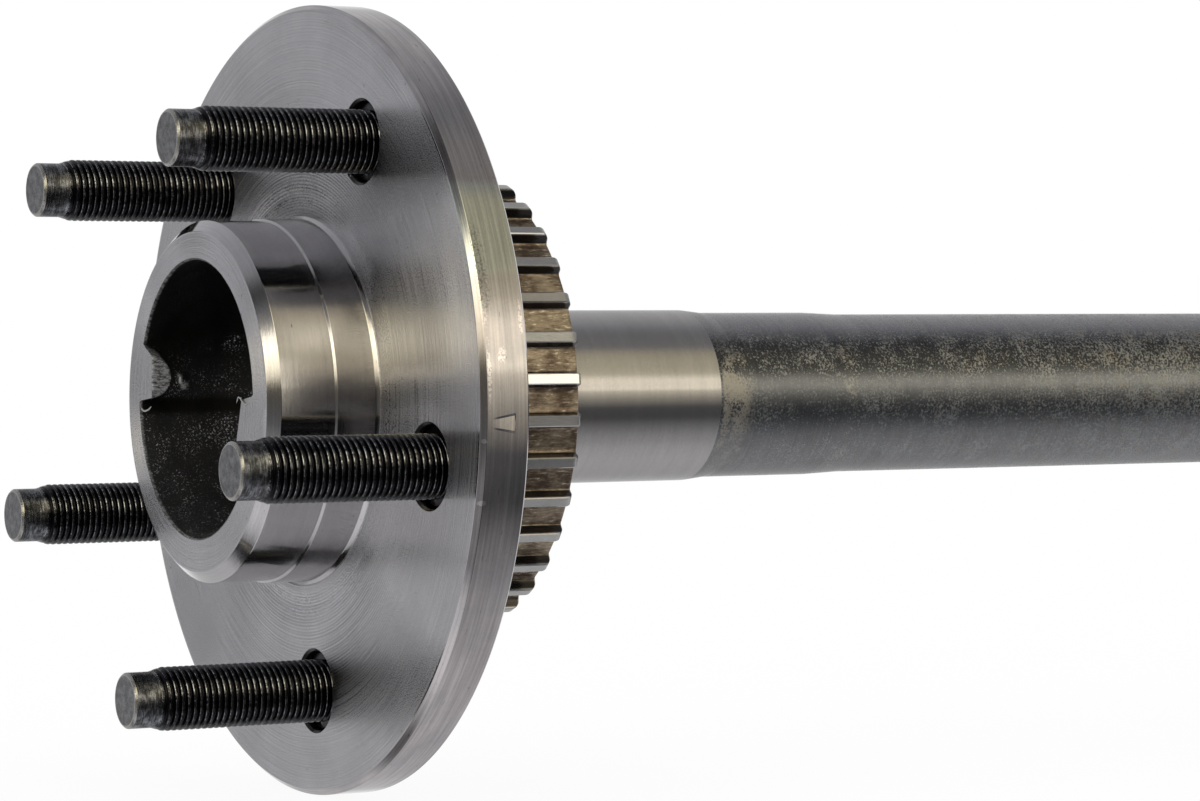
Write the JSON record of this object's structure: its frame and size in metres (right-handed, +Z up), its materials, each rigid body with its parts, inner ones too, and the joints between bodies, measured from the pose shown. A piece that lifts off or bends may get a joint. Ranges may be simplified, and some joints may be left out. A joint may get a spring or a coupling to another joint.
{
  "type": "axle shaft",
  "caption": "Flanged rear axle shaft with pressed-in wheel studs, a hollow wheel pilot, a toothed speed-sensor ring behind the flange, a ground bearing journal and a splined inner end.",
  "frame": {"origin": "centre of the wheel mounting face of the flange, on the axis of the shaft", "axes": "+Y along the shaft towards the splined end, -Y out through the wheel studs, +Z up"},
  "size_m": [0.1552, 0.768, 0.155],
  "materials": {
    "machined_steel": "turned and ground, with fine concentric feed marks",
    "ring_steel": "bare steel teeth with a light brown tarnish in the gaps",
    "stud_black": "glossy black coated thread, worn at the tips"
  },
  "bodies": {
    "root": {"axle_shaft": "machined_steel", "tone_ring": "ring_steel", "wheel_stud_1": "stud_black", "wheel_stud_2": "stud_black", "wheel_stud_3": "stud_black", "wheel_stud_4": "stud_black", "wheel_stud_5": "stud_black"}
  },
  "joints": []
}
